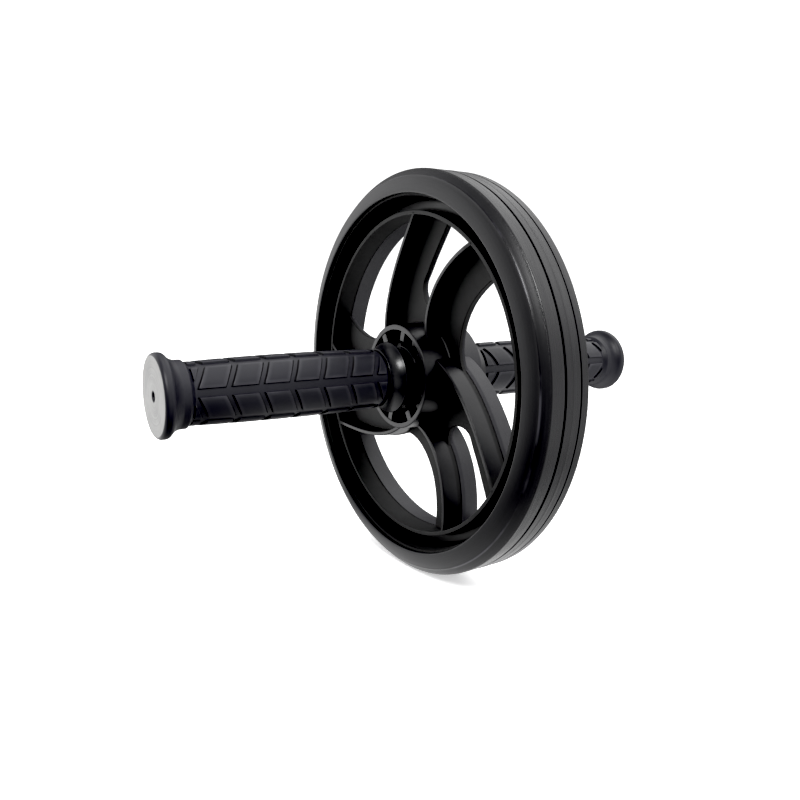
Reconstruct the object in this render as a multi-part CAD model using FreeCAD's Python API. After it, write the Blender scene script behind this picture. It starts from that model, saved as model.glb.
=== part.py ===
import FreeCAD, Part
import math
import os

# Sizes in mm. The axle lies along Y, Z is up, and the origin is the wheel's centre.
# A wall is measured outwards from what it surrounds, an offset from the wheel's middle plane.

# Wheel and tyre, from the tread inwards
tread_radius = 92.5
tyre_height = 9.0
tyre_rib_half_width = 3.0
tyre_rib_height = 1.2
rim_wall_half_width = 12.8
rim_wall_thickness = 2.6
rim_wall_draft = 1.4
bead_thickness = 2.2
bead_lip = 1.8
bead_edge_rounding = 0.7
sidewall_crease_drop = 3.3
sidewall_crease_inset = 2.5
sidewall_bulge = 0.4
shoulder_width = 3.1
shoulder_bulge = 0.1
tread_groove_offset = 4.1
tread_groove_shift = 1.6
tread_groove_width = 1.0
tread_groove_depth = 1.2
recess_width = 6.1
ring_thickness = 2.0

tyre_seat_radius = tread_radius - tyre_height
bead_radius = tyre_seat_radius - bead_lip
bead_offset = rim_wall_half_width + bead_thickness
sidewall_crease_radius = tread_radius - sidewall_crease_drop
sidewall_crease_offset = bead_offset - sidewall_crease_inset
tread_half_width = sidewall_crease_offset - shoulder_width
ring_radius = tyre_seat_radius - rim_wall_thickness - recess_width

# Axle and bushes
axle_radius = 9.5
axle_wall = 1.5
bush_running_clearance = 0.06
bush_wall = 2.54
bush_spacing = 5.0
bush_flange_thickness = 1.5
bush_flange_inset = 0.4
thrust_gap = 0.3
washer_width = 3.4
washer_thickness = 1.0
washer_clearance = 0.1
retainer_width = 3.1
retainer_thickness = 0.8
retainer_slots = 6
retainer_slot_width = 1.6
retainer_slot_depth = 1.3

bush_bore_radius = axle_radius + bush_running_clearance
bush_seat_radius = bush_bore_radius + bush_wall

# Hub
boss_wall = 2.1
boss_recess = 2.4
hub_rib_length = 7.3
hub_rib_count = 8
hub_rib_thickness = 3.2
hub_rib_recess = 0.4
hub_rib_shelf = 4.4
hub_rib_foot_recess = 5.0
hub_rib_first_angle = 30.0
hub_wall = 2.4
hub_half_width = 15.9

boss_radius = bush_seat_radius + boss_wall
boss_half_width = hub_half_width - boss_recess
hub_inner_radius = boss_radius + hub_rib_length
hub_radius = hub_inner_radius + hub_wall
washer_offset = boss_half_width + bush_flange_thickness + thrust_gap
retainer_offset = washer_offset + washer_thickness

# Spokes and web. A spoke's line passes through points at shares of its way from hub to ring.
# Draft is what a wall gains on each face from its edge to the parting line.
spoke_recess = 3.2
spoke_pairs = 3
spoke_wall_thickness = 1.8
spoke_web_width = 16.6
spoke_shares = (0.0, 0.22, 0.573, 1.0)
first_spoke_angles = (143.5, 121.3, 100.0, 86.0)
second_spoke_angles = (48.5, 62.5, 61.0, 52.0)
web_thickness = 3.0
parting_step = 0.35
wall_draft = 0.6
small_window_end_gap = 8.1
small_window_turn_gap = 14.1
big_window_end_gap = 7.1
big_window_end_angle = 17.0
big_window_turn_gap = 23.1
big_window_join_gap = 12.1

spoke_half_depth = rim_wall_half_width - spoke_recess
spoke_inner_radius = hub_radius - hub_wall / 2
spoke_outer_radius = ring_radius - ring_thickness / 2

# Collars
collar_gap = 2.2
collar_length = 7.9
collar_rim_wall = 6.65
collar_rim_land = 1.3
collar_waist_wall = 4.8
collar_waist_distance = 4.4
collar_end_wall = 4.0
collar_edge_rounding = 0.9

collar_face = retainer_offset + retainer_thickness + collar_gap
grip_start = collar_face + collar_length

# Grips. A depth is measured from the grip's end face.
grip_length = 97.8
grip_end_wall = 2.0
vent_radius = 2.0
flange_face_wall = 6.2
flange_wall = 7.1
flange_widest_depth = 2.0
flange_back_wall = 6.1
flange_back_depth = 4.4
neck_wall = 4.6
neck_depth = 6.2
band_wall = 3.95
band_outer_depth = 8.0
band_inner_depth = 10.6
block_end_depth = 12.4
block_start_gap = 1.6
block_height = 0.8
block_root = 0.4
grip_wall_outer = 3.0
grip_wall_middle = 4.0
grip_wall_middle_depth = 50.0
grip_wall_inner = 3.8
block_rows = 6
block_row_angle = 48.0
block_first_row = 37.5
block_pitch = 13.03
block_groove_width = 1.9
block_groove_first = 2.2
block_slant = 24.0

grip_end = grip_start + grip_length
flange_radius = axle_radius + flange_wall
block_end = grip_end - block_end_depth
block_start = grip_start + block_start_gap
grip_middle = grip_end - grip_wall_middle_depth
grip_top_outer = axle_radius + grip_wall_outer
grip_top_middle = axle_radius + grip_wall_middle
grip_top_inner = axle_radius + grip_wall_inner
block_groove_count = 1 + int((block_end - block_start - block_groove_first) / block_pitch)

# Tube and plugs
plug_head_thickness = 2.0
plug_stem_length = 12.0
plug_stem_wall = 3.0

axle_half_length = grip_end - grip_end_wall - plug_head_thickness

origin = FreeCAD.Vector(0, 0, 0)
along_axle = FreeCAD.Vector(0, 1, 0)
turn_axis = FreeCAD.Vector(0, -1, 0)


def polar(radius, degrees):
    """Point at a radius and an angle from +X towards +Z."""
    turn = math.radians(degrees)
    return FreeCAD.Vector(radius * math.cos(turn), 0, radius * math.sin(turn))


def outline(start, *moves):
    """Flat face of radius and axle positions: a move is an end point, or an arc's middle and end."""
    first = FreeCAD.Vector(start[0], start[1], 0)
    here = first
    edges = []
    for move in moves:
        points = [FreeCAD.Vector(radius, y, 0) for radius, y in move]
        if len(points) == 1:
            edges.append(Part.makeLine(here, points[0]))
        else:
            edges.append(Part.Arc(here, points[0], points[1]).toShape())
        here = points[-1]
    if not here.isEqual(first, 1e-6):
        edges.append(Part.makeLine(here, first))
    return Part.Face(Part.Wire(edges))


def rounding(face_end, side_end):
    """Middle of the round corner between a flat end face and a side."""
    share = 1 - math.sqrt(0.5)
    radius = side_end[0] + share * (face_end[0] - side_end[0])
    return radius, face_end[1] + share * (side_end[1] - face_end[1])


def turned(start, *moves):
    """Ring made by turning an outline about the axle."""
    return outline(start, *moves).revolve(origin, along_axle, 360)


def tube(outer, inner, y_from, y_to):
    """Plain sleeve about the axle."""
    return turned((inner, y_from), [(outer, y_from)], [(outer, y_to)], [(inner, y_to)])


def drafted(plain_radius, edge_radius, draft, edge):
    """Half of a ring, from its edge to the parting line, with draft on one of its two faces."""
    return turned(
        (plain_radius, 0),
        [(plain_radius, edge)],
        [(edge_radius, edge)],
        [(edge_radius + draft, 0)],
    )


def far_copy(shape):
    """Mirror image on the other side of the wheel."""
    return shape.mirror(origin, along_axle)


def about_axle(shape, degrees):
    """Copy turned from +X towards +Z."""
    copy = shape.copy()
    copy.rotate(origin, turn_axis, degrees)
    return copy


def spline(points):
    """Smooth curve through points."""
    curve = Part.BSplineCurve()
    curve.interpolate(points)
    return curve


def spoke_line(angles, turn=0.0):
    """Centre line of one spoke wall, from the hub to the ring."""
    reach = spoke_outer_radius - spoke_inner_radius
    points = []
    for share, angle in zip(spoke_shares, angles):
        points.append(polar(spoke_inner_radius + share * reach, angle + turn))
    return spline(points)


def sample(curve, steps=10):
    """Evenly spaced points along a curve."""
    first = curve.FirstParameter
    stride = (curve.LastParameter - first) / steps
    return [curve.value(first + stride * step) for step in range(steps + 1)]


def beyond(points, radius):
    """Points that lie outside a radius."""
    return [point for point in points if point.Length > radius]


def web_edge(points):
    """Free edge of a spoke's web: its wall line turned back by the web's width."""
    edge = []
    for point in points:
        back = math.degrees(spoke_web_width / point.Length)
        edge.append(FreeCAD.Rotation(turn_axis, -back).multVec(point))
    return edge


def spoke_outline(line, thickness, y):
    """Closed outline of a spoke wall at one depth."""
    left = []
    right = []
    for point in sample(line):
        tangent = FreeCAD.Vector(*line.tangent(line.parameter(point))[0])
        side = tangent.cross(along_axle).normalize() * (thickness / 2)
        left.append(point + side)
        right.append(point - side)
    wire = Part.Wire([
        spline(left).toShape(),
        Part.makeLine(left[-1], right[-1]),
        spline(right[::-1]).toShape(),
        Part.makeLine(right[0], left[0]),
    ])
    wire.translate(along_axle * y)
    return wire


def spoke_wall(line, thickness, edge):
    """Upright wall that follows a spoke line and thickens from its edge to the parting line."""
    ends = [spoke_outline(line, thickness, edge), spoke_outline(line, thickness + 2 * wall_draft, 0)]
    wall = Part.makeLoft(ends, True, True)
    return wall.common(tube(ring_radius, hub_inner_radius, -spoke_half_depth, spoke_half_depth))


def window(points):
    """Cutter for an opening in the web: a smooth line from ring to ring, closed along the ring."""
    first = points[0]
    last = points[-1]
    middle = (first + last).normalize() * first.Length
    face = Part.Face(Part.Wire([spline(points).toShape(), Part.Arc(last, middle, first).toShape()]))
    face.translate(along_axle * -web_thickness)
    return face.extrude(along_axle * 2 * web_thickness)


def web_windows():
    """The narrow window inside one pair of spokes and the wide one after it."""
    first = sample(spoke_line(first_spoke_angles))
    second = sample(spoke_line(second_spoke_angles))
    next_first = sample(spoke_line(first_spoke_angles, -360.0 / spoke_pairs))
    inner_side = beyond(second, hub_radius + small_window_turn_gap)[::-1]
    outer_side = beyond(web_edge(first), hub_radius + small_window_turn_gap)
    middle = (inner_side[-1] + outer_side[0]).normalize() * (hub_radius + small_window_end_gap)
    small = inner_side + [middle] + outer_side
    upper_side = beyond(web_edge(second), hub_radius + big_window_turn_gap)[::-1]
    lower_side = beyond(next_first, hub_radius + big_window_join_gap)
    end = polar(hub_radius + big_window_end_gap, big_window_end_angle)
    big = upper_side + [end] + lower_side
    return window(small), window(big)


def web_plate():
    """Plate on the wheel's middle plane with its six windows, inside the rim wall."""
    half = web_thickness / 2
    plate = tube(tyre_seat_radius - rim_wall_thickness, bush_seat_radius, -half, half)
    cutters = []
    for pair in range(spoke_pairs):
        for cutter in web_windows():
            cutters.append(about_axle(cutter, pair * 360.0 / spoke_pairs))
    return plate.cut(cutters)


def rim():
    """Wall under the tyre, with the groove that keys it, and the inner ring."""
    inner = tyre_seat_radius - rim_wall_thickness
    half = web_thickness / 2
    wall = turned(
        (inner, -rim_wall_half_width),
        [(tyre_seat_radius, -rim_wall_half_width)],
        [(tyre_seat_radius, -tyre_rib_half_width)],
        [(tyre_seat_radius - tyre_rib_height, -tyre_rib_half_width)],
        [(tyre_seat_radius - tyre_rib_height, tyre_rib_half_width)],
        [(tyre_seat_radius, tyre_rib_half_width)],
        [(tyre_seat_radius, rim_wall_half_width)],
        [(inner, rim_wall_half_width)],
        [(inner - rim_wall_draft, half)],
        [(inner - rim_wall_draft, -half)],
    )
    inside = ring_radius - ring_thickness
    near = drafted(ring_radius, inside, -wall_draft, -spoke_half_depth)
    far = drafted(ring_radius, inside - parting_step, -wall_draft, spoke_half_depth)
    return [wall, near, far]


def hub():
    """Outer hub ring, inner boss and the ribs between them on both sides."""
    near = drafted(hub_inner_radius, hub_radius, wall_draft, -hub_half_width)
    far = drafted(hub_inner_radius, hub_radius + parting_step, wall_draft, hub_half_width)
    boss = tube(boss_radius, bush_seat_radius, -boss_half_width, boss_half_width)
    reach = hub_wall / 2
    top = hub_half_width - hub_rib_recess
    foot = boss_half_width - hub_rib_foot_recess
    shelf_start = hub_inner_radius - hub_rib_shelf
    face = outline(
        (boss_radius - reach, -foot),
        [(shelf_start, -foot)],
        [(shelf_start, -top)],
        [(hub_inner_radius + reach, -top)],
        [(hub_inner_radius + reach, top)],
        [(shelf_start, top)],
        [(shelf_start, foot)],
        [(boss_radius - reach, foot)],
    )
    face.translate(FreeCAD.Vector(0, 0, -hub_rib_thickness / 2))
    rib = face.extrude(FreeCAD.Vector(0, 0, hub_rib_thickness))
    ribs = []
    for number in range(hub_rib_count):
        ribs.append(about_axle(rib, hub_rib_first_angle + number * 360.0 / hub_rib_count))
    return [near, far, boss] + ribs


def wheel_body():
    """One moulding: rim, web, spoke walls and hub."""
    pieces = rim() + hub()
    for pair in range(spoke_pairs):
        for angles in (first_spoke_angles, second_spoke_angles):
            line = spoke_line(angles, pair * 360.0 / spoke_pairs)
            thicker = spoke_wall_thickness + 2 * parting_step
            pieces.append(spoke_wall(line, spoke_wall_thickness, -spoke_half_depth))
            pieces.append(spoke_wall(line, thicker, spoke_half_depth))
    return web_plate().fuse(pieces).removeSplitter()


def tyre_half(groove):
    """Near half of the tyre, with its bead over the rim wall's edge and a tread groove at an offset."""
    groove_near = groove + tread_groove_width / 2
    groove_far = groove - tread_groove_width / 2
    groove_floor = tread_radius - tread_groove_depth
    rib_top = tyre_seat_radius - tyre_rib_height
    bead_side = (bead_radius, bead_edge_rounding - bead_offset)
    bead_face = (bead_radius + bead_edge_rounding, -bead_offset)
    bulge = (
        (bead_face[0] + sidewall_crease_radius) / 2,
        -(bead_offset + sidewall_crease_offset) / 2 - sidewall_bulge,
    )
    shoulder = (
        (sidewall_crease_radius + tread_radius) / 2 + shoulder_bulge,
        -(sidewall_crease_offset + tread_half_width) / 2 - shoulder_bulge,
    )
    return turned(
        (rib_top, 0),
        [(rib_top, -tyre_rib_half_width)],
        [(tyre_seat_radius, -tyre_rib_half_width)],
        [(tyre_seat_radius, -rim_wall_half_width)],
        [(bead_radius, -rim_wall_half_width)],
        [bead_side],
        [rounding(bead_face, bead_side), bead_face],
        [bulge, (sidewall_crease_radius, -sidewall_crease_offset)],
        [shoulder, (tread_radius, -tread_half_width)],
        [(tread_radius, -groove_near)],
        [(groove_floor, -groove_near)],
        [(groove_floor, -groove_far)],
        [(tread_radius, -groove_far)],
        [(tread_radius, 0)],
    )


def tyre():
    """Rubber ring whose two tread grooves lie a little to the far side of the middle."""
    near = tyre_half(tread_groove_offset - tread_groove_shift)
    far = far_copy(tyre_half(tread_groove_offset + tread_groove_shift))
    return near.fuse(far).removeSplitter()


def hub_bush():
    """Flanged bush, pressed into the boss from the near side."""
    flange = boss_radius - bush_flange_inset
    return turned(
        (bush_bore_radius, -boss_half_width - bush_flange_thickness),
        [(flange, -boss_half_width - bush_flange_thickness)],
        [(flange, -boss_half_width)],
        [(bush_seat_radius, -boss_half_width)],
        [(bush_seat_radius, -bush_spacing / 2)],
        [(bush_bore_radius, -bush_spacing / 2)],
    )


def thrust_washer():
    bore = axle_radius + washer_clearance
    return tube(bore + washer_width, bore, -retainer_offset, -washer_offset)


def retaining_ring():
    """Push-on ring with slots between the teeth that bite the tube."""
    outer_side = -retainer_offset - retainer_thickness
    ring = tube(axle_radius + retainer_width, axle_radius, outer_side, -retainer_offset)
    slot = Part.makeBox(
        axle_radius + retainer_slot_depth,
        retainer_thickness,
        retainer_slot_width,
        FreeCAD.Vector(0, outer_side, -retainer_slot_width / 2),
    )
    slots = [about_axle(slot, number * 360.0 / retainer_slots) for number in range(retainer_slots)]
    return ring.cut(slots)


def collar():
    """Glossy collar that flares from the grip towards the wheel."""
    rim = axle_radius + collar_rim_wall
    rim_side = (rim, -collar_face - collar_edge_rounding)
    rim_face = (rim - collar_edge_rounding, -collar_face)
    waist = (axle_radius + collar_waist_wall, -collar_face - collar_waist_distance)
    return turned(
        (axle_radius, -grip_start),
        [(axle_radius + collar_end_wall, -grip_start)],
        [waist, (rim, -collar_face - collar_rim_land)],
        [rim_side],
        [rounding(rim_face, rim_side), rim_face],
        [(axle_radius, -collar_face)],
    )


def tube_plug():
    """Headed plug for the tube's end."""
    head_end = -axle_half_length - plug_head_thickness
    stem_end = plug_stem_length - axle_half_length
    stem = axle_radius - axle_wall
    stem_bore = stem - plug_stem_wall
    return turned(
        (0, head_end),
        [(axle_radius, head_end)],
        [(axle_radius, -axle_half_length)],
        [(stem, -axle_half_length)],
        [(stem, stem_end)],
        [(stem_bore, stem_end)],
        [(stem_bore, -axle_half_length)],
        [(0, -axle_half_length)],
    )


def grip_core():
    """Grip without its blocks: end wall, flange, neck, band and the slightly swollen sleeve."""
    face = (axle_radius + flange_face_wall, -grip_end)
    widest = (flange_radius, flange_widest_depth - grip_end)
    back = (axle_radius + flange_back_wall, flange_back_depth - grip_end)
    neck = (axle_radius + neck_wall, neck_depth - grip_end)
    band = axle_radius + band_wall
    return turned(
        (vent_radius, -grip_end),
        [face],
        [rounding(face, widest), widest],
        [rounding(back, widest), back],
        [neck, (band, band_outer_depth - grip_end)],
        [(band, band_inner_depth - grip_end)],
        [(grip_top_outer - block_height, -block_end)],
        [
            (grip_top_middle - block_height, -grip_middle),
            (grip_top_inner - block_height, -block_start),
        ],
        [(grip_top_inner - block_height, -grip_start)],
        [(axle_radius, -grip_start)],
        [(axle_radius, grip_end_wall - grip_end)],
        [(vent_radius, grip_end_wall - grip_end)],
    )


def block_row(centre, slant):
    """One row of slanted blocks, with the part blocks that fill its two ends."""
    root = block_height + block_root
    strip = outline(
        (grip_top_outer - root, -block_end),
        [(grip_top_outer, -block_end)],
        [(grip_top_middle, -grip_middle), (grip_top_inner, -block_start)],
        [(grip_top_inner - root, -block_start)],
        [(grip_top_middle - root, -grip_middle), (grip_top_outer - root, -block_end)],
    )
    row = strip.revolve(origin, turn_axis, block_row_angle)
    row = about_axle(row, -block_row_angle / 2)
    grooves = []
    for number in range(block_groove_count):
        groove = Part.makeBox(
            2 * flange_radius,
            block_groove_width,
            2 * flange_radius,
            FreeCAD.Vector(0, -block_groove_width / 2, -flange_radius),
        )
        groove.rotate(origin, FreeCAD.Vector(1, 0, 0), -slant)
        groove.translate(along_axle * (block_groove_first + number * block_pitch - block_end))
        grooves.append(groove)
    return about_axle(row.cut(grooves), centre)


def grip():
    """Rubber grip for the near side."""
    blocks = []
    for number in range(block_rows):
        slant = block_slant if number % 2 == 0 else -block_slant
        row = block_row(block_first_row + number * 360.0 / block_rows, slant)
        blocks.extend(row.Solids)
    return grip_core().fuse(blocks)


os.makedirs("parts", exist_ok=True)

near_pieces = {
    "hub_bush": hub_bush(),
    "thrust_washer": thrust_washer(),
    "retaining_ring": retaining_ring(),
    "collar": collar(),
    "tube_plug": tube_plug(),
    "grip": grip(),
}

axle_tube = tube(axle_radius, axle_radius - axle_wall, -axle_half_length, axle_half_length)
axle_tube.exportStep("parts/axle_tube.step")
tyre().exportStep("parts/tyre.step")
wheel_body().exportStep("parts/wheel_body.step")
for name, shape in near_pieces.items():
    shape.exportStep("parts/" + name + "_left.step")
    far_copy(shape).exportStep("parts/" + name + "_right.step")
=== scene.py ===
import cmath
import math

import bmesh
import bpy
import numpy
from bpy.props import FloatProperty, FloatVectorProperty, IntProperty, PointerProperty
from bpy.types import Operator, Panel, PropertyGroup
from mathutils import Matrix, Vector


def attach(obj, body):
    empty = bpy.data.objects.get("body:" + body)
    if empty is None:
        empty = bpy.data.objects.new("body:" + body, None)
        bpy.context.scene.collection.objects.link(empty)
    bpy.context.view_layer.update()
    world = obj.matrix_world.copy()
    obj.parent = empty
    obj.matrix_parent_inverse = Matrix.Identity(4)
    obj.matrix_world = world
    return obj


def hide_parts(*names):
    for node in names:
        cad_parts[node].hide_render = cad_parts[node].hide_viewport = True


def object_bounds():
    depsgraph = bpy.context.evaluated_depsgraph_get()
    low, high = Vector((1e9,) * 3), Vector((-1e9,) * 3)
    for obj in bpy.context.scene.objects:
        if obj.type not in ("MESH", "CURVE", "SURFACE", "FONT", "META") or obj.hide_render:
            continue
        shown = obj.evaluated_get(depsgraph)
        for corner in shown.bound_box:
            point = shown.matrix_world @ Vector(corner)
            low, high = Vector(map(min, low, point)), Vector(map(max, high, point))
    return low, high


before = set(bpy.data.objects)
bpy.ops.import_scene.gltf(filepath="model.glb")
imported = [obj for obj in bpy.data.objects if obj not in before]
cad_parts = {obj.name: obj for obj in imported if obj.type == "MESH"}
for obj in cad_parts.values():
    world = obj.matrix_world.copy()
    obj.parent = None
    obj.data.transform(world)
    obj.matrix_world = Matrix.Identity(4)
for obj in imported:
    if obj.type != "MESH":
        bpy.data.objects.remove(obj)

bl_info = {
    "name": "Exercise roller",
    "version": (1, 0, 0),
    "blender": (4, 5, 0),
    "location": "3D View > Sidebar > Roller",
    "description": "Dresses the packed roller: tyre, spoked wheel, grips, collars and a studio stage",
    "category": "Object",
}

CAD_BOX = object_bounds()


# Settings

def setting(kind, name, description, default, **options):
    return kind(name=name, description=description, default=default, **options)


def length(name, description, millimetres):
    return setting(FloatProperty, name, description, millimetres / 1000, unit="LENGTH", precision=5)


def angle(name, description, degrees):
    return setting(FloatProperty, name, description, math.radians(degrees), subtype="ANGLE")


def strength(name, description, default):
    return setting(FloatProperty, name, description, default, min=0)


def number(name, description, default):
    return setting(IntProperty, name, description, default, min=1)


def colour(name, description, default):
    return setting(FloatVectorProperty, name, description, default, subtype="COLOR", min=0, max=1)


class TyreSizes(PropertyGroup):
    tread_radius: length("Tread radius", "Radius over the mould line in the middle of the tread", 92.5)
    mould_line_height: length("Mould line height", "How far the mould line stands out of the tread", 0.09)
    mould_line_width: length("Mould line width", "Width of the mould line at its foot", 0.5)
    tread_half_width: length("Tread half width", "Middle plane to the tread's edge", 9.4)
    groove_offset: length("Groove offset", "Mould line to the middle of a tread groove", 4.1)
    groove_shift: length("Groove shift", "Middle plane to the mould line", 1.6)
    left_groove_width: length("Left groove width", "Width of the left tread groove", 1.1)
    right_groove_width: length("Right groove width", "Width of the right tread groove", 0.7)
    groove_depth: length("Groove depth", "Depth of a tread groove", 1.2)
    edge_rounding: length("Edge rounding", "Rounding of the tread's edges", 0.25)
    crease_radius: length("Crease radius", "Radius of the crease between sidewall and shoulder", 89.2)
    crease_offset: length("Crease offset", "Middle plane to the crease", 12.5)
    crease_ridge: length("Crease ridge", "How far the mould's flash stands out along the crease", 0.12)
    sidewall_bulge: length("Sidewall bulge", "How far the sidewall swells between bead and crease", 0.4)
    shoulder_bulge: length("Shoulder bulge", "How far the shoulder swells between crease and tread", 0.1)
    bead_radius: length("Bead radius", "Inner radius of the bead", 81.7)
    bead_offset: length("Bead offset", "Middle plane to the bead's face", 15.0)
    bead_rounding: length("Bead rounding", "Rounding of the bead's inner edge", 0.7)
    seat_radius: length("Seat radius", "Radius that the tyre sits on", 83.5)
    seat_half_width: length("Seat half width", "Half the width of the wall that the tyre sits on", 12.8)


class WheelSizes(PropertyGroup):
    rim_wall: length("Rim wall", "Thickness of the wall under the tyre", 2.6)
    rim_draft: length("Rim draft", "How far the rim wall leans in towards the web", 1.4)
    ring_radius: length("Ring radius", "Outer radius of the inner ring", 74.8)
    ring_wall: length("Ring wall", "Thickness of the inner ring", 2.0)
    spoke_half_depth: length("Spoke half depth", "Middle plane to the edge of ring and spokes", 9.6)
    spoke_wall: length("Spoke wall", "Thickness of a spoke's upright wall", 1.8)
    web_width: length("Web width", "Width of the flat web along a spoke's wall", 16.6)
    web_thickness: length("Web thickness", "Thickness of the flat web", 3.0)
    parting_step: length("Parting step", "Step at the mould's parting line", 0.35)
    draft: length("Draft", "What a wall gains on each face from its edge to the parting line", 0.6)
    edge_rounding: length("Edge rounding", "Rounding of the moulding's edges", 0.5)
    spoke_pairs: number("Spoke pairs", "Number of spoke pairs round the wheel", 3)
    hub_radius: length("Hub radius", "Outer radius of the hub", 23.9)
    hub_wall: length("Hub wall", "Thickness of the hub's outer wall", 2.4)
    hub_half_width: length("Hub half width", "Middle plane to the hub's face", 15.9)
    boss_radius: length("Boss radius", "Outer radius of the boss that holds the bushes", 14.2)
    boss_bore: length("Boss bore", "Inner radius of the boss", 12.1)
    boss_half_width: length("Boss half width", "Middle plane to the boss's face", 13.5)
    rib_count: number("Hub ribs", "Number of ribs between boss and hub wall", 8)
    rib_thickness: length("Rib thickness", "Thickness of a hub rib", 3.2)
    rib_recess: length("Rib recess", "How far a rib stays below the hub's face", 0.4)
    rib_shelf: length("Rib shelf", "Length of a rib's level part, from the hub's wall", 4.4)
    rib_foot_recess: length("Rib foot recess", "How far a rib's low part stays below the boss's face", 5.0)
    hub_fillet: length("Hub fillet", "Fillet between hub and web", 0.9)
    rib_first_angle: angle("First rib", "Angle of the first rib from straight ahead", 30.0)


class GripSizes(PropertyGroup):
    start: length("Start", "Middle plane to the grip's inner end", 27.2)
    end: length("End", "Middle plane to the grip's end face", 125.0)
    bore: length("Bore", "Radius of the tube inside the grip", 9.5)
    end_wall: length("End wall", "Thickness of the grip's closed end", 2.0)
    vent_radius: length("Vent radius", "Radius of the air vent in the end face", 2.0)
    face_radius: length("Face radius", "Radius of the flat end face", 15.7)
    flange_radius: length("Flange radius", "Largest radius of the end flange", 16.6)
    flange_widest: length("Flange widest", "End face to the flange's widest place", 2.0)
    flange_back_radius: length("Flange back radius", "Radius behind the flange", 15.6)
    flange_back: length("Flange back", "End face to the back of the flange", 4.4)
    neck_radius: length("Neck radius", "Radius in the hollow behind the flange", 14.1)
    neck: length("Neck", "End face to the hollow behind the flange", 6.2)
    band_radius: length("Band radius", "Radius of the plain band", 13.45)
    band_outer: length("Band outer edge", "End face to the band's outer edge", 8.0)
    band_inner: length("Band inner edge", "End face to the band's inner edge", 10.6)
    pattern_end: length("Pattern end", "End face to the outer end of the blocks", 12.4)
    pattern_start: length("Pattern start", "Inner end of the grip to the first blocks", 1.6)
    outer_radius: length("Outer top radius", "Radius over the blocks at the outer end", 12.5)
    middle_radius: length("Middle top radius", "Radius over the blocks at the swell", 13.5)
    middle: length("Swell", "End face to the middle of the swell", 50.0)
    inner_radius: length("Inner top radius", "Radius over the blocks at the inner end", 13.3)
    edge_rounding: length("Edge rounding", "Rounding of the sleeve's edges", 0.4)
    block_height: length("Block height", "Height of a block over the sleeve", 0.95)
    block_rounding: length("Block rounding", "Rounding of a block's edges", 0.3)
    block_root: length("Block root", "How far a block runs into the sleeve", 0.3)
    rows: number("Rows", "Rows of blocks round the grip", 6)
    row_angle: angle("Row angle", "Angle that one row covers", 44.5)
    first_row: angle("First row", "Angle of the first row from straight ahead", 37.5)
    pitch: length("Pitch", "Distance from block to block", 13.03)
    row_flank: length("Row flank", "How far a block's sides lean out along its row", 0.3)
    groove_flank: length("Groove flank", "How far a block's ends lean out into the slanted grooves", 0.8)
    groove_width: length("Groove width", "Width of the slanted groove between blocks", 2.5)
    first_groove: length("First groove", "Outer end of the blocks to the first groove", 2.2)
    slant: angle("Slant", "Slant of the grooves", 24.0)


class CollarSizes(PropertyGroup):
    face: length("Face", "Middle plane to the collar's wheel side", 19.3)
    rim_radius: length("Rim radius", "Radius of the collar's rim", 16.15)
    rim_land: length("Rim land", "Width of the collar's rim", 1.3)
    waist_radius: length("Waist radius", "Radius at the collar's waist", 14.3)
    waist: length("Waist", "Wheel side to the collar's waist", 4.4)
    end_radius: length("End radius", "Radius beside the grip", 13.5)
    rounding: length("Rounding", "Rounding of the rim's edge", 0.9)
    bore_rounding: length("Bore rounding", "Rounding of the bore's edge", 0.2)
    edge_rounding: length("Edge rounding", "Rounding of the edges of the sweep", 0.3)


class Finishes(PropertyGroup):
    tyre: colour("Tyre", "Rubber of the tyre", (0.0105, 0.0103, 0.0122))
    wheel: colour("Wheel", "Plastic of the wheel moulding", (0.0085, 0.0083, 0.01))
    grip: colour("Grip", "Rubber of the grips", (0.0118, 0.0116, 0.018))
    # Pale grey of the flat end face of a grip.
    end_face: colour("End face", "Pale bloom on the flat end of a grip", (0.255, 0.252, 0.246))
    collar: colour("Collar", "Glossy plastic of the collars", (0.0065, 0.0065, 0.0085))
    steel: colour("Steel", "Zinc-plated steel", (0.56, 0.56, 0.57))
    black_steel: colour("Black steel", "Blackened spring steel", (0.035, 0.035, 0.037))
    bush: colour("Bush", "Dark plastic of bushes and plugs", (0.02, 0.02, 0.021))


class StageSettings(PropertyGroup):
    azimuth: angle("Azimuth", "Direction of the camera round the object", 56.21)
    elevation: angle("Elevation", "Height of the camera over the horizon", 9.06)
    distance: length("Distance", "Camera to the middle of the view", 334.04)
    across: length("Across", "Middle of the view to the right of the wheel's centre", -11.11)
    above: length("Above", "Middle of the view above the wheel's centre", -12.2)
    lens: setting(FloatProperty, "Lens", "Focal length in mm on a 36 mm sensor", 31.76, min=1)
    floor: colour("Floor", "Pale floor", (0.8, 0.8, 0.8))
    floor_glow: strength("Floor glow", "Light that the camera sees the floor give off", 0.42)
    top: strength("Top", "Surroundings straight above", 0.08)
    back_top: strength("Back top", "Surroundings above and behind", 2.0)
    left_back: strength("Left back", "Surroundings behind on the left", 0.08)
    right_back: strength("Right back", "Surroundings behind on the right", 0.98)
    left_front: strength("Left front", "Surroundings in front on the left", 1.6)
    front: strength("Front", "Surroundings in front", 0.35)
    floor_left_front: strength("Floor left front", "Floor in front on the left", 2.1)
    floor_right_back: strength("Floor right back", "Floor behind on the right", 0.95)
    floor_below: strength("Floor below", "Floor under the wheel and behind it", 1.5)
    spot: strength("Small light", "Power of the light above the camera, in W", 5.4)
    black: strength("Black level", "Light that the camera still shows as black", 0.017)


# Node trees

def operators(operation):
    """Two methods for an operator: with the value on its left, and on its right."""
    def left(value, other):
        return value.graph.math(operation, value, other)

    def right(value, other):
        return value.graph.math(operation, other, value)

    return left, right


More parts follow.
